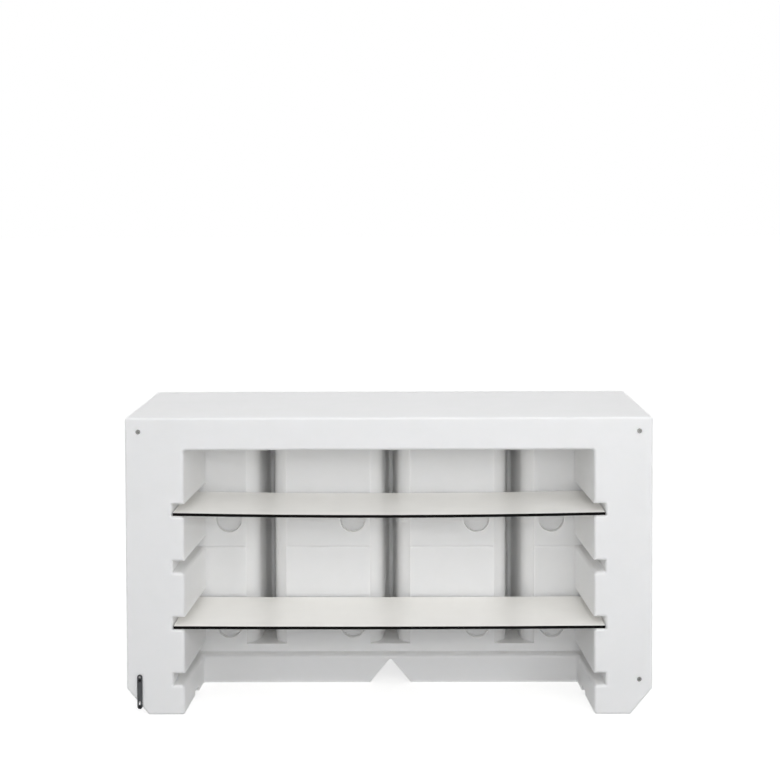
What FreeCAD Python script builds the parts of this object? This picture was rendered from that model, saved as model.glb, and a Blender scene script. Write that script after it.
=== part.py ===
import FreeCAD, Part

import math
import os
import re

import Sketcher

# One-piece hollow plastic bar counter, seen here from the bartender's side.
#
# Frame: millimetres, +Z up, origin on the floor under the middle of the counter.
# The open service side, with the shelves, faces -Y. The guests' side faces +Y.
#
# The shell is rotationally moulded: one closed skin with an air space inside it.
# It is built the way its mould is: an outer block, less a tapered core that forms the
# shelf bay, less the air space. The core and its grown copy, which bounds the air
# space, come from the same function, so the wall between them keeps its thickness.

SIZES = [
    # the shell
    ("overall_width", 1800.0),
    ("overall_depth", 700.0),
    ("overall_height", 1022.0),
    ("wall", 5.0),
    ("outer_radius", 8.0),
    ("side_width", 199.0),
    ("top_band", 112.0),
    ("draft_angle", 3.0),
    ("bay_radius", 10.0),
    ("rim_radius", 10.0),
    # the corner cut-outs at the floor, and the notch in the guests' wall that pairs with them
    ("chamfer_width", 75.0),
    ("chamfer_height", 90.0),
    # the back of the shelf bay: a skirt, then panels that step back at each shelf level
    ("skirt_depth", 350.0),
    ("ledge_depth", 42.0),
    ("panel_step", 4.0),
    # the four levels of moulded shelf grooves
    ("lowest_groove", 101.5),
    ("groove_pitch", 194.4),
    ("groove_height", 40.0),
    ("groove_lip_radius", 12.0),
    ("groove_corner_radius", 3.0),
    # the tapered channels that tie the bay's back to the guests' wall
    ("channel_pitch", 455.0),
    ("channel_width", 146.0),
    ("channel_tip_width", 16.0),
    ("channel_lead_in", 30.0),
    ("channel_throat_width", 64.0),
    ("channel_shoulder_radius", 80.0),
    ("channel_floor", 130.0),
    # the round recesses in the back panels
    ("disc_diameter", 94.0),
    ("disc_recess", 25.0),
    ("disc_side_inset", 307.5),
    # the cable pass under each side
    ("pass_setback", 185.0),
    ("pass_length", 73.0),
    ("pass_height", 20.0),
    # the shelves
    ("shelf_rear_gap", 8.0),
    ("shelf_thickness", 10.0),
    ("decor_thickness", 0.5),
    ("shelf_bearing", 37.0),
    ("shelf_side_gap", 2.0),
    ("shelf_seat_gap", 0.3),
    ("upper_shelf_sag", 7.2),
    ("lower_shelf_sag", 2.1),
    # the moulded-in threaded inserts
    ("insert_inset", 45.3),
    ("insert_top_inset", 48.0),
    ("insert_radius", 6.0),
    ("insert_flange_radius", 8.0),
    ("insert_flange_thickness", 1.5),
    ("insert_length", 18.0),
    ("insert_ring_depth", 0.8),
    ("insert_ring_width", 3.0),
    ("thread_bore_radius", 2.5),
    ("thread_bore_depth", 16.0),
    # the screws, the link plate and their washers
    ("screw_radius", 3.0),
    ("screw_length", 20.0),
    ("screw_head_radius", 5.25),
    ("screw_head_height", 3.3),
    ("screw_head_round", 2.4),
    ("screw_socket_radius", 2.3),
    ("screw_socket_depth", 2.0),
    ("link_width", 18.0),
    ("link_thickness", 3.0),
    ("link_edge_radius", 0.6),
    ("slot_length", 22.0),
    ("slot_clearance", 0.5),
    ("pivot_drop", 3.0),
    ("link_play", 0.3),
    ("screw_to_chamfer_gap", 0.35),
    ("washer_radius", 6.0),
    ("washer_thickness", 1.6),
    ("washer_clearance", 0.2),
    ("retainer_radius", 5.5),
    ("retainer_thickness", 1.5),
]

# Places that several pieces share, as formulas of the sizes above.
FACE_Y = "(-overall_depth / 2)"
GUEST_Y = "(overall_depth / 2)"
BAY_HALF = "(overall_width / 2 - side_width)"
BAY_TOP = "(overall_height - top_band)"
PANEL_DEPTH = "(skirt_depth + ledge_depth)"
SHELF_HALF = f"({BAY_HALF} + shelf_bearing)"
# the bay is narrowest at its back, and there the shelves' span between their bearings is shortest
SPAN_HALF = f"({BAY_HALF} - {PANEL_DEPTH} * tan(draft_angle))"
SLOT_WIDTH = "(2 * (screw_radius + slot_clearance))"
CHAMFER_SLOPE = "sqrt(1 / chamfer_width ^ 2 + 1 / chamfer_height ^ 2)"
# the free screw hangs this high, just clear of the corner cut-out
FREE_SCREW_Z = (
    "(chamfer_height * (1 - insert_inset / chamfer_width"
    f" - (screw_radius + screw_to_chamfer_gap) * {CHAMFER_SLOPE}))"
)
# two counters side by side bring their inserts twice the inset apart, and the link spans that
LINK_SPAN = "(2 * insert_inset)"
LOW_INSERT_Z = f"({FREE_SCREW_Z} + {LINK_SPAN})"
HIGH_INSERT_Z = "(overall_height - insert_top_inset)"
INSERT_X = "(overall_width / 2 - insert_inset)"
LINK_BACK_Y = f"({FACE_Y} - washer_thickness - link_play)"
LINK_FRONT_Y = f"({LINK_BACK_Y} - link_thickness)"

LEVELS = 4
LOWER_SHELF_LEVEL = 1
UPPER_SHELF_LEVEL = 3
# cutting solids run this far past the surface they open
OVERRUN = "10"

doc = FreeCAD.newDocument("bar_counter")
sheet = doc.addObject("Spreadsheet::Sheet", "Sizes")
for row, (alias, number) in enumerate(SIZES, start=1):
    sheet.set(f"A{row}", alias)
    sheet.set(f"B{row}", str(number))
    sheet.setAlias(f"B{row}", alias)
doc.recompute()

ALIAS = re.compile(r"\b(" + "|".join(alias for alias, number in SIZES) + r")\b")


def formula(text):
    """A formula of plain size names, as an expression on the sheet."""
    return ALIAS.sub(r"Sizes.\1", text)


def bind(thing, **places):
    """Bind properties to formulas; an underscore in a key stands for a dot."""
    for place, text in places.items():
        thing.setExpression(place.replace("_", "."), formula(text))


def box(label, x, y, z):
    """A box between two formulas on each axis."""
    solid = doc.addObject("Part::Box", label)
    bind(solid, Placement_Base_x=x[0], Placement_Base_y=y[0], Placement_Base_z=z[0])
    bind(solid, Length=f"({x[1]}) - ({x[0]})")
    bind(solid, Width=f"({y[1]}) - ({y[0]})")
    bind(solid, Height=f"({z[1]}) - ({z[0]})")
    return solid


def rod_along_y(label, x, y, z, radius):
    """A cylinder whose axis runs along Y, between the two formulas of y."""
    solid = doc.addObject("Part::Cylinder", label)
    solid.Placement = FreeCAD.Placement(FreeCAD.Vector(), FreeCAD.Rotation(FreeCAD.Vector(1, 0, 0), -90))
    bind(solid, Placement_Base_x=x, Placement_Base_y=y[0], Placement_Base_z=z)
    bind(solid, Radius=radius, Height=f"({y[1]}) - ({y[0]})")
    return solid


def value(text):
    """A formula's number, for places that can't hold an expression."""
    return float(sheet.evalExpression(formula(text)))


def rounded(label, base, radius, picks):
    """Round those edges of a solid that picks says yes to."""
    doc.recompute()
    size = value(radius)
    fillet = doc.addObject("Part::Fillet", label)
    fillet.Base = base
    edges = enumerate(base.Shape.Edges, start=1)
    fillet.Edges = [(place, size, size) for place, edge in edges if picks(edge)]
    return fillet


def every_edge(edge):
    return True


def fuse(label, solids):
    joined = doc.addObject("Part::MultiFuse", label)
    joined.Shapes = solids
    joined.Refine = True
    return joined


def cut(label, base, tool):
    remainder = doc.addObject("Part::Cut", label)
    remainder.Base = base
    remainder.Tool = tool
    remainder.Refine = True
    return remainder


def dimension(sketch, text, kind, *where):
    """A sketch dimension, drawn at its number and then tied to its formula."""
    place = sketch.addConstraint(Sketcher.Constraint(kind, *where, value(text)))
    sketch.setExpression(f"Constraints[{place}]", formula(text))


def pin_point(sketch, edge, end, x, y):
    """Tie one end of a sketch edge to two formulas, measured from the sketch's origin."""
    dimension(sketch, x, "DistanceX", -1, 1, edge, end)
    dimension(sketch, y, "DistanceY", -1, 1, edge, end)


def polygon(label, points):
    """A closed sketch of straight edges through pairs of formulas."""
    sketch = doc.addObject("Sketcher::SketchObject", label)
    count = len(points)
    corners = [FreeCAD.Vector(value(x), value(y), 0) for x, y in points]
    for index in range(count):
        sketch.addGeometry(Part.LineSegment(corners[index], corners[(index + 1) % count]))
    for index in range(count):
        sketch.addConstraint(Sketcher.Constraint("Coincident", index, 2, (index + 1) % count, 1))
    for index, (x, y) in enumerate(points):
        pin_point(sketch, index, 1, x, y)
    return sketch


def extrude(label, sketch, direction, length):
    solid = doc.addObject("Part::Extrusion", label)
    solid.Base = sketch
    solid.DirMode = "Custom"
    solid.Dir = direction
    solid.Solid = True
    bind(solid, LengthFwd=length)
    return solid


def stand_upright(sketch, y):
    """Lay a sketch in the XZ plane at a Y: its x is X and its y is Z."""
    sketch.Placement = FreeCAD.Placement(FreeCAD.Vector(), FreeCAD.Rotation(FreeCAD.Vector(1, 0, 0), 90))
    bind(sketch, Placement_Base_y=y)


def level_floor(level):
    return f"(lowest_groove + {level} * groove_pitch)"


def panel_y(level):
    """The back panel that rises from a shelf level."""
    return f"({FACE_Y} + {PANEL_DEPTH} + {level} * panel_step)"


def block_outline(inset):
    """The counter's elevation: a rectangle, cut corners and a notch, all moved in by inset."""
    side = f"(overall_width / 2 - ({inset}))"
    shift = f"(1 + ({inset}) * {CHAMFER_SLOPE})"
    cut_height = f"(chamfer_height * ({shift} - ({inset}) / chamfer_width))"
    cut_width = f"(chamfer_width * ({shift} - ({inset}) / chamfer_height))"
    foot = f"(overall_width / 2 - {cut_width})"
    return [
        (f"-{side}", cut_height),
        (f"-{foot}", f"({inset})"),
        (f"-{cut_width}", f"({inset})"),
        ("0", f"chamfer_height * {shift}"),
        (cut_width, f"({inset})"),
        (foot, f"({inset})"),
        (side, cut_height),
        (side, f"overall_height - ({inset})"),
        (f"-{side}", f"overall_height - ({inset})"),
    ]


def block(label, inset):
    outline = polygon(f"{label}_outline", block_outline(inset))
    stand_upright(outline, f"{FACE_Y} + {inset}")
    return extrude(label, outline, FreeCAD.Vector(0, 1, 0), f"overall_depth - 2 * ({inset})")


def bay_half_at(depth):
    """Half the tapered bay's width, this far behind the service face."""
    return f"({BAY_HALF} - ({depth}) * tan(draft_angle))"


def bay_top_at(depth):
    return f"({BAY_TOP} - ({depth}) * tan(draft_angle))"


def tapered_bay(label, floor, depth, grow):
    """One tapered block of the bay, from in front of the face back to a depth."""
    solid = doc.addObject("Part::Wedge", f"{label}_sharp")
    lead = f"(-{OVERRUN})"
    bind(solid, Ymin=f"{FACE_Y} - {OVERRUN}", Ymax=f"{FACE_Y} + {depth} + ({grow})")
    near = f"({bay_half_at(lead)} + ({grow}))"
    far = f"({bay_half_at(f'{depth} + ({grow})')} + ({grow}))"
    bind(solid, Xmin=f"-{near}", Xmax=near, X2min=f"-{far}", X2max=far)
    bind(solid, Zmin=floor, Z2min=floor)
    bind(solid, Zmax=f"{bay_top_at(lead)} + ({grow})")
    bind(solid, Z2max=f"{bay_top_at(f'{depth} + ({grow})')} + ({grow})")
    mouth_y = value(f"{FACE_Y} - {OVERRUN}")
    floor_z = value(floor)

    def away_from_mouth_and_floor(edge):
        bounds = edge.BoundBox
        return bounds.YMax > mouth_y + 1 and bounds.ZMax > floor_z + 1

    return rounded(label, solid, f"bay_radius + ({grow})", away_from_mouth_and_floor)


def bay_blocks(prefix, grow):
    """The bay behind the skirt, and a deeper block above each shelf level."""
    blocks = [tapered_bay(f"{prefix}_skirt_bay", f"-{OVERRUN}", "skirt_depth", grow)]
    for level in range(LEVELS):
        floor = f"{level_floor(level)} - ({grow})"
        depth = f"({PANEL_DEPTH} + {level} * panel_step)"
        blocks.append(tapered_bay(f"{prefix}_bay_{level + 1}", floor, depth, grow))
    return blocks


def groove_blocks(prefix, grow):
    """One slab per level: it reaches past the bay's sides and leaves a groove in each."""
    reach = f"({SHELF_HALF} + shelf_side_gap + ({grow}))"
    mouth_y = value(f"{FACE_Y} - {OVERRUN}")

    def at_an_end_and_away_from_mouth(edge):
        bounds = edge.BoundBox
        return bounds.XLength < 1 and bounds.YMax > mouth_y + 1

    slabs = []
    for level in range(LEVELS):
        slab = box(
            f"{prefix}_groove_{level + 1}_sharp",
            (f"-{reach}", reach),
            (f"{FACE_Y} - {OVERRUN}", f"{panel_y(level)} + ({grow})"),
            (f"{level_floor(level)} - ({grow})", f"{level_floor(level)} + groove_height + ({grow})"),
        )
        label = f"{prefix}_groove_{level + 1}"
        radius = f"groove_corner_radius + ({grow})"
        slabs.append(rounded(label, slab, radius, at_an_end_and_away_from_mouth))
    return slabs


def shelf_bay(prefix, grow):
    """The bay with its grooves. The grooves' lower lips and the back's ledges are rounded."""
    bay = fuse(f"{prefix}_sharp_bay", bay_blocks(prefix, grow) + groove_blocks(prefix, grow))
    if grow != "0":
        return bay
    lip_x = value(bay_half_at(f"(-{OVERRUN})"))
    lip_y = value(f"{FACE_Y} - {OVERRUN}")
    shortest_lip = value("ledge_depth")
    for level in range(LEVELS):
        lip_z = value(level_floor(level))

        def starts_at_a_lip(edge):
            for vertex in edge.Vertexes:
                away = (abs(abs(vertex.X) - lip_x), abs(vertex.Y - lip_y), abs(vertex.Z - lip_z))
                if max(away) < 0.1 and edge.BoundBox.YLength > shortest_lip:
                    return True
            return False

        bay = rounded(f"{prefix}_bay_to_level_{level + 1}", bay, "groove_lip_radius", starts_at_a_lip)
    return bay


def channel_blocks(prefix, grow):
    """Upright tapered channels, whose tips fuse with the guests' wall and stiffen it.

    Each has a sloping lead-in behind the panels, which rolls over a shoulder into a deep throat.
    """
    mouth = f"(channel_width / 2 + ({grow}))"
    throat = f"(channel_throat_width / 2 + ({grow}))"
    mouth_y = f"({panel_y(LEVELS - 1)} + ({grow}))"
    throat_y = f"({mouth_y} + channel_lead_in)"
    tip = f"(channel_tip_width / 2 + ({grow}))"
    tip_y = f"({GUEST_Y} - 2 * wall + ({grow}))"
    floor = f"channel_floor - ({grow})"
    tip_face = value(tip_y)
    shoulder_face = value(throat_y)

    def upright_at_the_tip(edge):
        bounds = edge.BoundBox
        return bounds.ZLength > 1 and bounds.YMin > tip_face - 1

    def upright_at_a_shoulder(edge):
        bounds = edge.BoundBox
        return bounds.ZLength > 1 and abs(bounds.Center.y - shoulder_face) < 1

    channels = []
    for place in (-1, 0, 1):
        centre = f"({place} * channel_pitch)"
        outline = polygon(f"{prefix}_channel_outline_{place + 2}", [
            (f"{centre} - {mouth}", f"{panel_y(0)} - {OVERRUN}"),
            (f"{centre} + {mouth}", f"{panel_y(0)} - {OVERRUN}"),
            (f"{centre} + {mouth}", mouth_y),
            (f"{centre} + {throat}", throat_y),
            (f"{centre} + {tip}", tip_y),
            (f"{centre} - {tip}", tip_y),
            (f"{centre} - {throat}", throat_y),
            (f"{centre} - {mouth}", mouth_y),
        ])
        bind(outline, Placement_Base_z=floor)
        height = f"{bay_top_at(PANEL_DEPTH)} + ({grow}) - ({floor})"
        label = f"{prefix}_channel_{place + 2}"
        channel = extrude(f"{label}_sharp", outline, FreeCAD.Vector(0, 0, 1), height)
        shoulder_radius = f"channel_shoulder_radius - ({grow})"
        channel = rounded(f"{label}_shouldered", channel, shoulder_radius, upright_at_a_shoulder)
        channels.append(rounded(label, channel, f"channel_tip_width / 2 + ({grow})", upright_at_the_tip))
    return channels


def disc_places():
    """Centres of the round recesses: two follow the channels' pitch, and the outer ones mirror."""
    outer = "(overall_width / 2 - disc_side_inset)"
    places = []
    for level in (LOWER_SHELF_LEVEL - 1, UPPER_SHELF_LEVEL - 1):
        z = f"({level_floor(level)} + groove_pitch / 2)"
        for x in (f"-{outer}", f"(channel_pitch - {outer})", f"(2 * channel_pitch - {outer})", outer):
            places.append((x, z, level))
    return places


def disc_blocks(prefix, grow):
    discs = []
    for number, (x, z, level) in enumerate(disc_places(), start=1):
        floor_y = f"{panel_y(level)} + disc_recess + ({grow})"
        disc = doc.addObject("Part::Cone", f"{prefix}_disc_{number}")
        disc.Placement = FreeCAD.Placement(
            FreeCAD.Vector(), FreeCAD.Rotation(FreeCAD.Vector(1, 0, 0), -90)
        )
        bind(disc, Placement_Base_x=x, Placement_Base_y=f"{panel_y(level)} - {OVERRUN}", Placement_Base_z=z)
        bind(disc, Height=f"{floor_y} - ({panel_y(level)} - {OVERRUN})")
        mouth = f"(disc_diameter / 2 + ({grow}))"
        bind(disc, Radius1=f"{mouth} + {OVERRUN} * tan(draft_angle)")
        bind(disc, Radius2=f"{mouth} - (disc_recess + ({grow})) * tan(draft_angle)")
        discs.append(disc)
    return discs


def cable_pass(prefix, grow):
    near = f"{FACE_Y} + pass_setback"
    side = f"(overall_width / 2 + {OVERRUN})"
    return box(
        f"{prefix}_cable_pass",
        (f"-{side}", side),
        (f"{near} - ({grow})", f"{near} + pass_length + ({grow})"),
        (f"-{OVERRUN}", f"pass_height + ({grow})"),
    )


def core(prefix, grow):
    """Everything that the mould's core forms. Grown by the wall, it bounds the air space."""
    parts = [shelf_bay(prefix, grow)] + channel_blocks(prefix, grow)
    return fuse(f"{prefix}_core", parts + disc_blocks(prefix, grow) + [cable_pass(prefix, grow)])


def insert_blanks(prefix, x, z):
    """The outside of one threaded insert: barrel, flange and two rings the plastic grips."""
    pitch = "insert_length / 3"
    blanks = [
        rod_along_y(f"{prefix}_barrel", x, (FACE_Y, f"{FACE_Y} + insert_length"), z, "insert_radius"),
        rod_along_y(
            f"{prefix}_flange", x, (FACE_Y, f"{FACE_Y} + insert_flange_thickness"), z, "insert_flange_radius"
        ),
    ]
    for ring in (1, 2):
        near = f"{FACE_Y} + {ring} * {pitch} - insert_ring_width / 2"
        reach = (near, f"{near} + insert_ring_width")
        label = f"{prefix}_ring_{ring}"
        blanks.append(rod_along_y(label, x, reach, z, "insert_radius + insert_ring_depth"))
    return fuse(f"{prefix}_blank", blanks)


INSERTS = {
    "insert_top_left": (f"(-{INSERT_X})", HIGH_INSERT_Z),
    "insert_top_right": (INSERT_X, HIGH_INSERT_Z),
    "insert_bottom_left": (f"(-{INSERT_X})", LOW_INSERT_Z),
    "insert_bottom_right": (INSERT_X, LOW_INSERT_Z),
}


def screw(label, x, z, head_y):
    """A button-head screw with a hex socket. head_y is the underside of its head."""
    crown_y = f"{head_y} - screw_head_height"
    disc = rod_along_y(f"{label}_head_sharp", x, (crown_y, head_y), z, "screw_head_radius")
    front = value(crown_y)

    def at_the_crown(edge):
        return edge.BoundBox.YMax < front + 0.01

    head = rounded(f"{label}_head", disc, "screw_head_round", at_the_crown)
    shank = rod_along_y(f"{label}_shank", x, (head_y, f"{head_y} + screw_length"), z, "screw_radius")
    socket = doc.addObject("Part::Prism", f"{label}_socket")
    socket.Polygon = 6
    socket.Placement = FreeCAD.Placement(FreeCAD.Vector(), FreeCAD.Rotation(FreeCAD.Vector(1, 0, 0), -90))
    bind(socket, Placement_Base_x=x, Placement_Base_y=f"{crown_y} - 1", Placement_Base_z=z)
    bind(socket, Circumradius="screw_socket_radius", Height="screw_socket_depth + 1")
    return cut(label, fuse(f"{label}_blank", [head, shank]), socket)


def washer(label, x, z, y, radius):
    """A washer round a screw, between the two formulas of y."""
    disc = rod_along_y(f"{label}_disc", x, y, z, radius)
    bored = (f"{y[0]} - 1", f"{y[1]} + 1")
    hole = rod_along_y(f"{label}_hole", x, bored, z, "screw_radius + washer_clearance")
    return cut(label, disc, hole)


def upright_stadium(label, x, y, ends, radius):
    """A slab with round ends: ends are its two end centres' heights, and y its two faces."""
    low, high = ends
    slab = box(f"{label}_slab", (f"{x} - {radius}", f"{x} + {radius}"), y, (low, high))
    caps = []
    for name, z in (("low", low), ("high", high)):
        caps.append(rod_along_y(f"{label}_{name}_end", x, y, z, radius))
    return fuse(label, [slab] + caps)


def link_plate(x):
    """The slotted plate that joins two counters side by side."""
    half_slot = f"((slot_length - {SLOT_WIDTH}) / 2)"
    upper = f"({LOW_INSERT_Z} + pivot_drop)"
    lower = f"({FREE_SCREW_Z} + {half_slot})"
    faces = (LINK_FRONT_Y, LINK_BACK_Y)
    ends = (f"{lower} - {half_slot}", f"{upper} + {half_slot}")
    sharp = upright_stadium("link_plate_sharp", x, faces, ends, "link_width / 2")

    def on_a_face(edge):
        return edge.BoundBox.YLength < 0.01

    plate = rounded("link_plate_blank", sharp, "link_edge_radius", on_a_face)
    slots = []
    for name, middle in (("upper", upper), ("lower", lower)):
        through = (f"{LINK_FRONT_Y} - 1", f"{LINK_BACK_Y} + 1")
        slot_ends = (f"{middle} - {half_slot}", f"{middle} + {half_slot}")
        slots.append(upright_stadium(f"{name}_slot", x, through, slot_ends, f"{SLOT_WIDTH} / 2"))
    return cut("link_plate", plate, fuse("link_slots", slots))


def shelf_layer(label, level, sag, below, above):
    """One bonded layer of a sagging shelf, between two depths from its underside.

    Every layer's faces are arcs about one centre, so the layers meet over their whole width.
    """
    rests_at = f"({level_floor(level)} + shelf_seat_gap)"
    underside = f"(({SPAN_HALF} ^ 2 + {sag} ^ 2) / (2 * {sag}))"
    centre_z = f"({rests_at} - {sag} + {underside})"
    centre = FreeCAD.Vector(0, value(centre_z), 0)
    half = value(SHELF_HALF)
    sketch = doc.addObject("Sketcher::SketchObject", f"{label}_profile")
    corners = []
    for depth in (below, above):
        radius = value(f"{underside} - {depth}")
        swing = math.asin(half / radius)
        middle = -math.pi / 2
        circle = Part.Circle(centre, FreeCAD.Vector(0, 0, 1), radius)
        sketch.addGeometry(Part.ArcOfCircle(circle, middle - swing, middle + swing))
        corners.append(centre.y - radius * math.cos(swing))
    for side in (1, -1):
        foot = FreeCAD.Vector(side * half, corners[0], 0)
        head = FreeCAD.Vector(side * half, corners[1], 0)
        sketch.addGeometry(Part.LineSegment(foot, head))
    # edges 0 and 1 are the arcs, left to right; 2 and 3 are the right and left ends
    for edge, end, arc, arc_end in ((2, 1, 0, 2), (2, 2, 1, 2), (3, 1, 0, 1), (3, 2, 1, 1)):
        sketch.addConstraint(Sketcher.Constraint("Coincident", edge, end, arc, arc_end))
    for arc, depth in ((0, below), (1, above)):
        pin_point(sketch, arc, 3, "0", centre_z)
        dimension(sketch, f"{underside} - {depth}", "Radius", arc)
        dimension(sketch, f"-{SHELF_HALF}", "DistanceX", -1, 1, arc, 1)
        dimension(sketch, SHELF_HALF, "DistanceX", -1, 1, arc, 2)
    stand_upright(sketch, FACE_Y)
    return extrude(label, sketch, FreeCAD.Vector(0, 1, 0), f"{PANEL_DEPTH} - shelf_rear_gap")


def shelf(prefix, level, sag):
    """A black-cored laminate board: a thick core between two thin white decor faces."""
    top = "(shelf_thickness - decor_thickness)"
    return [
        shelf_layer(f"{prefix}_bottom_face", level, sag, "0", "decor_thickness"),
        shelf_layer(f"{prefix}_core", level, sag, "decor_thickness", top),
        shelf_layer(f"{prefix}_top_face", level, sag, top, "shelf_thickness"),
    ]


def counter_body(blanks):
    """The moulded shell: skin, less the air space, less the pockets that the inserts fill."""
    block_solid = rounded("outer_block", block("outer_block_sharp", "0"), "outer_radius", every_edge)
    skin = cut("skin", block_solid, core("opening", "0"))
    face_y = value(FACE_Y)
    reach_x = value(f"{SHELF_HALF} + shelf_side_gap") + 1
    reach_z = (value("outer_radius") - 0.5, value(BAY_TOP) + 1)

    def round_the_opening(edge):
        bounds = edge.BoundBox
        across = max(-bounds.XMin, bounds.XMax) < reach_x and abs(bounds.YMin - face_y) < 0.01
        return across and bounds.YLength < 0.01 and reach_z[0] < bounds.ZMin and bounds.ZMax < reach_z[1]

    rimmed = rounded("rimmed_skin", skin, "rim_radius", round_the_opening)
    air = cut("air_space_blank", block("inner_block", "wall"), core("cavity", "wall"))
    bosses = []
    for name, (x, z) in INSERTS.items():
        reach = (FACE_Y, f"{FACE_Y} + insert_length + wall")
        bosses.append(rod_along_y(f"{name}_boss", x, reach, z, "insert_radius + insert_ring_depth + wall"))
    air_space = cut("air_space", air, fuse("insert_bosses", bosses))
    shell = cut("shell", rimmed, air_space)
    return cut("counter_body", shell, fuse("insert_pockets", blanks))


blanks = []
nodes = []
for name, (x, z) in INSERTS.items():
    blank = insert_blanks(name, x, z)
    blanks.append(blank)
    reach = (f"{FACE_Y} - 1", f"{FACE_Y} + thread_bore_depth")
    bore = rod_along_y(f"{name}_bore", x, reach, z, "thread_bore_radius")
    nodes.append(cut(name, blank, bore))
nodes.append(counter_body(blanks))
nodes.extend(shelf("upper_shelf", UPPER_SHELF_LEVEL, "upper_shelf_sag"))
nodes.extend(shelf("lower_shelf", LOWER_SHELF_LEVEL, "lower_shelf_sag"))

pivot_x = f"(-{INSERT_X})"
on_the_face = (f"{FACE_Y} - washer_thickness", FACE_Y)
nodes.append(washer("pivot_washer", pivot_x, LOW_INSERT_Z, on_the_face, "washer_radius"))
nodes.append(screw("pivot_screw", pivot_x, LOW_INSERT_Z, f"({LINK_FRONT_Y} - link_play)"))
nodes.append(link_plate(pivot_x))
nodes.append(screw("free_screw", pivot_x, FREE_SCREW_Z, LINK_FRONT_Y))
behind_plate = (LINK_BACK_Y, f"{LINK_BACK_Y} + retainer_thickness")
nodes.append(washer("retaining_washer", pivot_x, FREE_SCREW_Z, behind_plate, "retainer_radius"))
doc.recompute()

for thing in doc.Objects:
    if "Invalid" in thing.State or "Error" in thing.State:
        raise RuntimeError(f"{thing.Label} did not build: {thing.State}")
for node in nodes:
    if node.Shape.isNull() or not node.Shape.isValid() or len(node.Shape.Solids) != 1:
        raise RuntimeError(f"{node.Label} is not one valid solid")

os.makedirs("parts", exist_ok=True)
for node in nodes:
    node.Shape.exportStep(f"parts/{node.Label}.step")
    bounds = node.Shape.BoundBox
    print(
        f"{node.Label:24} {node.Shape.Volume:14.1f} mm3"
        f"  X {bounds.XMin:8.1f} {bounds.XMax:8.1f}"
        f"  Y {bounds.YMin:8.1f} {bounds.YMax:8.1f}"
        f"  Z {bounds.ZMin:8.1f} {bounds.ZMax:8.1f}"
    )
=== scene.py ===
# %% [markdown]
# # A moulded bar counter, dressed in Blender
#
# The object is a hollow plastic bar counter seen from the bartender's side. Its solids come
# from a CAD model. This lesson gives every solid the finish of the real material, then adds
# the stage, the lamps and the camera. All lengths are in metres and +Z is up.

import math

import bpy
from mathutils import Matrix, Vector

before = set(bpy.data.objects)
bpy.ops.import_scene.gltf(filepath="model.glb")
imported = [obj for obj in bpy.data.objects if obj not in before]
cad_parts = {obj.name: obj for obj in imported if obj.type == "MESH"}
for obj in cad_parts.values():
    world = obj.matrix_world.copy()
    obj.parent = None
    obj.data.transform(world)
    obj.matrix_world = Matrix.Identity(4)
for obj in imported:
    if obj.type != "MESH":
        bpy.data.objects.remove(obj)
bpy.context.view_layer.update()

# %% [markdown]
# ## Colours and nodes
#
# A colour is easiest to read as the hex code of a paint chart, which is in sRGB. A shader
# works in linear light, so one function turns the first into the second. Another adds a shader
# node and sets or links its inputs, and every finish below is written with it. Three short
# ones open a material, close it, and blend two colours by a pattern.

# %% Helpers for materials
MM = 0.001


def linear(hex_code):
    """An sRGB hex colour as the linear RGBA that a shader takes."""
    channels = []
    for place in (1, 3, 5):
        c = int(hex_code[place:place + 2], 16) / 255
        channels.append(c / 12.92 if c <= 0.04045 else ((c + 0.055) / 1.055) ** 2.4)
    return (*channels, 1.0)


def add(tree, kind, settings=None, **inputs):
    """Add a node. An input is a number or colour, or the output socket that feeds it.

    Inputs go by name, with _ for a space, or by number where names repeat, as in _0.
    """
    node = tree.nodes.new(kind)
    for name, setting in (settings or {}).items():
        setattr(node, name, setting)
    for name, source in inputs.items():
        key = int(name[1:]) if name[0] == "_" else name.replace("_", " ")
        if isinstance(source, bpy.types.NodeSocket):
            tree.links.new(source, node.inputs[key])
        else:
            node.inputs[key].default_value = source
    return node


def new_material(name):
    """A material with no nodes yet, and its node tree."""
    material = bpy.data.materials.new(name)
    material.use_nodes = True
    material.node_tree.nodes.clear()
    return material, material.node_tree


def finish_material(tree, shader):
    """Make the shader the material's surface."""
    output = add(tree, "ShaderNodeOutputMaterial")
    tree.links.new(shader.outputs[0], output.inputs["Surface"])


def two_tone(tree, factor, dark, light, low=0.3, high=0.7):
    """Blend two hex colours by a pattern's value between low and high."""
    ramp = add(tree, "ShaderNodeValToRGB", Fac=factor)
    ramp.color_ramp.elements[0].position = low
    ramp.color_ramp.elements[0].color = linear(dark)
    ramp.color_ramp.elements[1].position = high
    ramp.color_ramp.elements[1].color = linear(light)
    return ramp.outputs["Color"]


print("white in linear light", linear("#FFFFFF"))

# %% [markdown]
# ## Rotationally moulded polyethylene
#
# The shell is polyethylene powder that melted against the inside of a turning steel mould. It
# cools with no pressure behind it, so a wall is never quite flat: it draws in by a few tenths
# of a millimetre over a hand's width. The skin copies the mould's blasted steel as a fine
# pebble, with here and there a pinhole where air stayed between the grains. The plastic is
# milky, not opaque: light that enters the skin wanders and comes out again nearby, which
# softens edges and keeps the bay bright. Subsurface scattering does that here.

# %% Moulded polyethylene
WALL_DRAW_MM = 110.0
WALL_DRAW_DEPTH_MM = 0.45
PEBBLE_MM = 2.4  # the blasted grain is about 0.8 mm, too fine to show, so it is coarser here
PEBBLE_DEPTH_MM = 0.035
PINHOLE_MM = 16.0  # from one pinhole to the next
PINHOLE_DEPTH_MM = 0.15
PINHOLE_FLOOR, PINHOLE_RIM = 0.02, 0.045  # radii, as shares of the spacing
MILKY_MM = 15.0  # how far light wanders in the plastic before it leaves again


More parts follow.
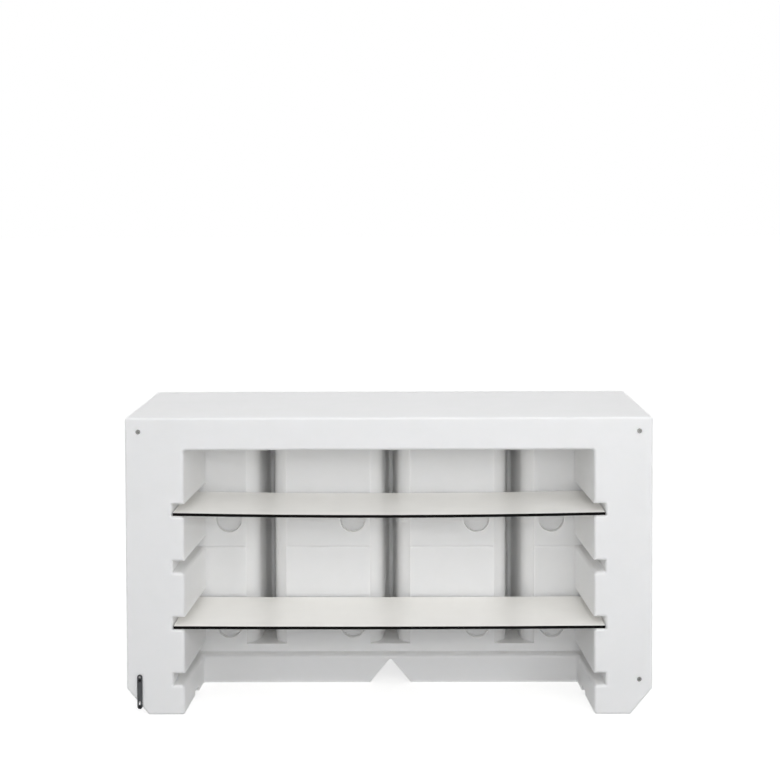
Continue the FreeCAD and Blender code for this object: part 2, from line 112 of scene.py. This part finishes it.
def moulded_polyethylene():
    """White plastic: drawn walls, a fine pebble, pinholes, and light that wanders inside."""
    material, tree = new_material("moulded_polyethylene")
    place = add(tree, "ShaderNodeTexCoord").outputs["Object"]
    draw = add(
        tree, "ShaderNodeTexNoise", Vector=place, Scale=1 / (WALL_DRAW_MM * MM), Detail=2.0,
    )
    pebble = add(
        tree, "ShaderNodeTexNoise", Vector=place, Scale=1 / (PEBBLE_MM * MM), Detail=3.0,
    )
    pinhole = add(tree, "ShaderNodeTexVoronoi", Vector=place, Scale=1 / (PINHOLE_MM * MM))
    pit = add(
        tree, "ShaderNodeMapRange", Value=pinhole.outputs["Distance"],
        From_Min=PINHOLE_FLOOR, From_Max=PINHOLE_RIM,
    )
    tint = two_tone(tree, draw.outputs["Fac"], "#F7F7F5", "#FAF9F8")
    sheen = add(
        tree, "ShaderNodeMapRange", Value=pebble.outputs["Fac"], To_Min=0.36, To_Max=0.50,
    )
    sunk = add(
        tree, "ShaderNodeBump", Height=draw.outputs["Fac"], Strength=1.0,
        Distance=WALL_DRAW_DEPTH_MM * MM,
    )
    grained = add(
        tree, "ShaderNodeBump", Height=pebble.outputs["Fac"], Strength=1.0,
        Distance=PEBBLE_DEPTH_MM * MM, Normal=sunk.outputs["Normal"],
    )
    pitted = add(
        tree, "ShaderNodeBump", Height=pit.outputs["Result"], Strength=0.6,
        Distance=PINHOLE_DEPTH_MM * MM, Normal=grained.outputs["Normal"],
    )
    shader = add(
        tree, "ShaderNodeBsdfPrincipled", Base_Color=tint, Roughness=sheen.outputs["Result"],
        IOR=1.51, Normal=pitted.outputs["Normal"], Subsurface_Weight=1.0,
        Subsurface_Radius=(1.0, 0.98, 0.95), Subsurface_Scale=MILKY_MM * MM,
    )
    finish_material(tree, shader)
    return material


# %% [markdown]
# ## Compact laminate
#
# The shelves are compact laminate: sheets of paper soaked in resin and pressed hot into one
# dense board. The core is black all through. A white decor paper under a satin plate closes
# each face. Sawing the board leaves the black core bare along its edges, with the faintest
# lines from the stacked sheets. The white paper is a tenth of a millimetre thick, so the face
# layers turn black at their sawn edges too. The cut ends of the papers drink light, so the
# edge reflects less than the closed faces do and reads as a deep black line.

# %% Laminate faces and core
CLOUD_MM = 90.0
PLATE_GRAIN_MM = 3.0
PLATE_DEPTH_MM = 0.01
SAWN_BLACK = "#0A0A09"
UPRIGHT = 0.5  # a surface is a sawn edge where its normal rises or falls by less than this
SHEET_MM = 1.2  # the papers are 0.2 mm each, too fine to show
SHEET_DEPTH_MM = 0.03
SHEET_STRETCH = 60.0  # a line runs this much further along the board than through it
PAPER_END_IOR = 1.15  # solid resin is about 1.5, but the rough paper ends mirror far less


def laminate_decor():
    """White paper under a satin plate, and black where the saw has cut through it."""
    material, tree = new_material("white_laminate_decor")
    coordinates = add(tree, "ShaderNodeTexCoord")
    place = coordinates.outputs["Object"]
    cloud = add(tree, "ShaderNodeTexNoise", Vector=place, Scale=1 / (CLOUD_MM * MM), Detail=3.0)
    grain = add(
        tree, "ShaderNodeTexNoise", Vector=place, Scale=1 / (PLATE_GRAIN_MM * MM), Detail=2.0,
    )
    paper = two_tone(tree, cloud.outputs["Fac"], "#F8F7F4", "#FBFAF7")
    facing = add(tree, "ShaderNodeSeparateXYZ", Vector=coordinates.outputs["Normal"])
    flatness = add(
        tree, "ShaderNodeMath", {"operation": "ABSOLUTE"}, _0=facing.outputs["Z"],
    )
    sawn = add(
        tree, "ShaderNodeMath", {"operation": "LESS_THAN"}, _0=flatness.outputs[0], _1=UPRIGHT,
    )
    tint = add(
        tree, "ShaderNodeMix", {"data_type": "RGBA"}, _0=sawn.outputs[0], _6=paper,
        _7=linear(SAWN_BLACK),
    )
    sheen = add(
        tree, "ShaderNodeMapRange", Value=grain.outputs["Fac"], To_Min=0.34, To_Max=0.44,
    )
    grained = add(
        tree, "ShaderNodeBump", Height=grain.outputs["Fac"], Strength=1.0,
        Distance=PLATE_DEPTH_MM * MM,
    )
    shader = add(
        tree, "ShaderNodeBsdfPrincipled", Base_Color=tint.outputs[2],
        Roughness=sheen.outputs["Result"], IOR=1.53, Normal=grained.outputs["Normal"],
    )
    finish_material(tree, shader)
    return material


def laminate_core():
    """The sawn edge: near black, with faint lines, and little gloss."""
    material, tree = new_material("black_laminate_core")
    place = add(tree, "ShaderNodeTexCoord").outputs["Object"]
    flat = add(tree, "ShaderNodeMapping", Vector=place, Scale=(1.0, 1.0, SHEET_STRETCH))
    sheets = add(
        tree, "ShaderNodeTexNoise", Vector=flat.outputs[0],
        Scale=1 / (SHEET_MM * SHEET_STRETCH * MM), Detail=2.0,
    )
    tint = two_tone(tree, sheets.outputs["Fac"], "#040405", SAWN_BLACK)
    scored = add(
        tree, "ShaderNodeBump", Height=sheets.outputs["Fac"], Strength=1.0,
        Distance=SHEET_DEPTH_MM * MM,
    )
    shader = add(
        tree, "ShaderNodeBsdfPrincipled", Base_Color=tint, Roughness=0.75, IOR=PAPER_END_IOR,
        Normal=scored.outputs["Normal"],
    )
    finish_material(tree, shader)
    return material


# %% [markdown]
# ## The metal fittings
#
# The inserts are turned and nickel plated, with a fine grain. Their grey is set darker than
# bright nickel, as painted shade for the dark surroundings they mirror and the shade in their
# bores. The link is a stamped strip with a dull dark zinc coat and a grain along its length.
# The screws are black oxide: steel turned black in a hot bath and oiled, which leaves a soft
# dark shine. The washers keep a light zinc coat. A metal takes its look from what it mirrors,
# so each one gets a grey of its own and a shine that follows its grain.

# %% Metals
METAL_GRAIN_DEPTH_MM = 0.01
SHINE_SPREAD = 0.08  # how far the grain moves the roughness to either side


def metal(name, dark, light, grain_mm, roughness, stretch=(1.0, 1.0, 1.0)):
    """A metal whose colour, shine and surface follow one grain, stretched along its working."""
    material, tree = new_material(name)
    place = add(tree, "ShaderNodeTexCoord").outputs["Object"]
    worked = add(tree, "ShaderNodeMapping", Vector=place, Scale=stretch)
    grain = add(
        tree, "ShaderNodeTexNoise", Vector=worked.outputs[0], Scale=1 / (grain_mm * MM),
        Detail=3.0,
    )
    tint = two_tone(tree, grain.outputs["Fac"], dark, light)
    shine = add(
        tree, "ShaderNodeMapRange", Value=grain.outputs["Fac"],
        To_Min=roughness - SHINE_SPREAD, To_Max=roughness + SHINE_SPREAD,
    )
    cut = add(
        tree, "ShaderNodeBump", Height=grain.outputs["Fac"], Strength=1.0,
        Distance=METAL_GRAIN_DEPTH_MM * MM,
    )
    shader = add(
        tree, "ShaderNodeBsdfPrincipled", Base_Color=tint, Metallic=1.0,
        Roughness=shine.outputs["Result"], Normal=cut.outputs["Normal"],
    )
    finish_material(tree, shader)
    return material


ALONG_THE_LINK = (1.0, 1.0, 0.08)

finishes = {
    "moulded_polyethylene": moulded_polyethylene(),
    "laminate_decor": laminate_decor(),
    "laminate_core": laminate_core(),
    # the inserts' darker grey is painted shade for what they mirror and for their shaded bores
    "nickel_plated_brass": metal("nickel_plated_brass", "#6F6F6D", "#9C9C99", 1.2, 0.26),
    "dark_zinc_steel": metal(
        "dark_zinc_steel", "#3F4042", "#545557", 2.0, 0.42, ALONG_THE_LINK,
    ),
    "black_oxide_steel": metal("black_oxide_steel", "#1B1B1D", "#2C2C2E", 1.0, 0.36),
    "zinc_plated_steel": metal("zinc_plated_steel", "#8E9092", "#A8AAAB", 1.2, 0.34),
}
print("finishes", sorted(finishes))

# %% [markdown]
# ## Putting the finishes on
#
# Each solid keeps its shape and only its material slot changes. A list by node name shows at a
# glance which piece is made of what.

# %% Dress every solid
dressed = {
    "moulded_polyethylene": ["counter_body"],
    "laminate_decor": [
        "upper_shelf_top_face", "upper_shelf_bottom_face",
        "lower_shelf_top_face", "lower_shelf_bottom_face",
    ],
    "laminate_core": ["upper_shelf_core", "lower_shelf_core"],
    "nickel_plated_brass": [
        "insert_top_left", "insert_top_right", "insert_bottom_left", "insert_bottom_right",
    ],
    "dark_zinc_steel": ["link_plate"],
    "black_oxide_steel": ["pivot_screw", "free_screw"],
    "zinc_plated_steel": ["pivot_washer", "retaining_washer"],
}
for finish, names in dressed.items():
    for name in names:
        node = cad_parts[name]
        for slot in node.material_slots:
            slot.material = finishes[finish]
    print(finish, "on", ", ".join(names))

# %% [markdown]
# ## The stage
#
# The counter stands on a pale studio floor that runs out to a white distance. Seen directly,
# or mirrored in something glossy, the floor adds light of its own, so it reads white wherever
# no shadow lies, while the contact shadow under the counter stays. Soft light that bounces
# between surfaces gets none of that addition. The world works the same way: it is white to
# look at, and about a third dimmer as the light that fills the shadows.

# %% Floor and world
FLOOR_HALF = 60.0
FLOOR_COLOUR = "#B4B4B4"
FLOOR_GLOW = 0.71
AMBIENT = 0.68


def seen_directly(tree):
    """1 for rays from the camera, off gloss or through glass, and 0 for the rest."""
    path = add(tree, "ShaderNodeLightPath")
    first = add(
        tree, "ShaderNodeMath", {"operation": "MAXIMUM"}, _0=path.outputs["Is Camera Ray"],
        _1=path.outputs["Is Glossy Ray"],
    )
    both = add(
        tree, "ShaderNodeMath", {"operation": "MAXIMUM"}, _0=first.outputs[0],
        _1=path.outputs["Is Transmission Ray"],
    )
    return both.outputs[0]


floor_mesh = bpy.data.meshes.new("studio_floor")
corners = [(-FLOOR_HALF, -FLOOR_HALF, 0), (FLOOR_HALF, -FLOOR_HALF, 0),
           (FLOOR_HALF, FLOOR_HALF, 0), (-FLOOR_HALF, FLOOR_HALF, 0)]
floor_mesh.from_pydata(corners, [], [(0, 1, 2, 3)])
floor = bpy.data.objects.new("studio_floor", floor_mesh)
bpy.context.scene.collection.objects.link(floor)
paint, tree = new_material("pale_floor_paint")
matt = add(tree, "ShaderNodeBsdfDiffuse", Color=linear(FLOOR_COLOUR))
glow = add(tree, "ShaderNodeEmission", Color=(1, 1, 1, 1))
shown = add(
    tree, "ShaderNodeMath", {"operation": "MULTIPLY"}, _0=seen_directly(tree), _1=FLOOR_GLOW,
)
tree.links.new(shown.outputs[0], glow.inputs["Strength"])
both = add(tree, "ShaderNodeAddShader")
tree.links.new(matt.outputs[0], both.inputs[0])
tree.links.new(glow.outputs[0], both.inputs[1])
finish_material(tree, both)
floor_mesh.materials.append(paint)

world = bpy.data.worlds.new("studio")
bpy.context.scene.world = world
world.use_nodes = True
tree = world.node_tree
tree.nodes.clear()
level = add(
    tree, "ShaderNodeMapRange", Value=seen_directly(tree), To_Min=AMBIENT, To_Max=1.0,
)
sky = add(
    tree, "ShaderNodeBackground", Color=(1, 1, 1, 1), Strength=level.outputs["Result"],
)
output = add(tree, "ShaderNodeOutputWorld")
tree.links.new(sky.outputs[0], output.inputs["Surface"])
print("floor", 2 * FLOOR_HALF, "m across, ambient", AMBIENT)

# %% [markdown]
# ## Lamps
#
# Square soft boxes stand round the counter, each one given by its turn from straight ahead, its
# rise above level and its distance. The strongest is low and near the camera's line, as the
# bay is deep and only level light reaches its back. A steeper one lights the shelves. Those at
# the right are stronger than the one at the left, so that the channels and the bay's walls
# keep a light and a shaded flank. One behind lifts the worktop. The bigger a lamp is for its
# distance, the softer the edges of its shadows.

# %% Soft boxes
BAY_CENTRE = (0.0, -0.2, 0.6)
WORKTOP_CENTRE = (0.0, 0.2, 1.0)


def soft_box(name, turn, rise, distance, size, power, target=BAY_CENTRE):
    """A square lamp, its turn and rise in degrees as seen from its target."""
    lamp = bpy.data.lights.new(name, "AREA")
    lamp.shape = "SQUARE"
    lamp.size = size
    lamp.energy = power
    holder = bpy.data.objects.new(name, lamp)
    turn, rise = math.radians(turn), math.radians(rise)
    outwards = Vector((
        math.sin(turn) * math.cos(rise),
        -math.cos(turn) * math.cos(rise),
        math.sin(rise),
    ))
    holder.location = Vector(target) + distance * outwards
    holder.rotation_euler = (-outwards).to_track_quat("-Z", "Y").to_euler()
    bpy.context.scene.collection.objects.link(holder)


soft_box("front_box", 0, 12, 6.5, 2.0, 77.0)
soft_box("front_box_high", 0, 45, 5.5, 2.0, 24.0)
soft_box("key_box", 18, 14, 5.5, 1.4, 33.0)
soft_box("right_box", 38, 20, 5.0, 1.4, 39.0)
soft_box("left_box", -38, 20, 5.0, 1.4, 15.5)
soft_box("worktop_box", 180, 50, 4.0, 3.0, 22.0, WORKTOP_CENTRE)

# %% [markdown]
# ## Camera
#
# The camera stands in front of the open side, above the worktop and a few centimetres right of
# the middle, and looks almost level. Its frame is shifted down, which shows the whole counter
# with hardly any tilt, so upright edges stay upright.

# %% Camera
WIDTH_PX = 780
FOCAL_PX = 1530.2
SHIFT_RIGHT_PX, SHIFT_UP_PX = -6.5, -148.7
SENSOR_MM = 36.0
FAR_CLIP = 500.0
EYE = (0.0605, -5.5409, 1.7744)
YAW, PITCH, ROLL = -0.00598, 0.02969, -0.00341  # in radians; the pitch is downwards

camera_data = bpy.data.cameras.new("camera")
camera_data.sensor_fit = "HORIZONTAL"
camera_data.sensor_width = SENSOR_MM
camera_data.lens = SENSOR_MM * FOCAL_PX / WIDTH_PX
camera_data.shift_x = SHIFT_RIGHT_PX / WIDTH_PX
camera_data.shift_y = SHIFT_UP_PX / WIDTH_PX
camera_data.clip_end = FAR_CLIP
camera = bpy.data.objects.new("camera", camera_data)
bpy.context.scene.collection.objects.link(camera)
bpy.context.scene.camera = camera

level_ahead = Vector((math.sin(YAW), math.cos(YAW), 0))
level_right = Vector((math.cos(YAW), -math.sin(YAW), 0))
up = Vector((0, 0, 1))
ahead = level_ahead * math.cos(PITCH) - up * math.sin(PITCH)
above = up * math.cos(PITCH) + level_ahead * math.sin(PITCH)
right = level_right * math.cos(ROLL) + above * math.sin(ROLL)
above = above * math.cos(ROLL) - level_right * math.sin(ROLL)
aim = Matrix((right, above, -ahead)).transposed()
camera.matrix_world = Matrix.Translation(EYE) @ aim.to_4x4()
print("camera lens", round(camera_data.lens, 2), "mm")

# %% [markdown]
# ## The view
#
# The standard view shows a colour about as it is written. A finish changes no shape.

# %% Set the view
bpy.context.scene.view_settings.view_transform = "Standard"
bpy.context.view_layer.update()
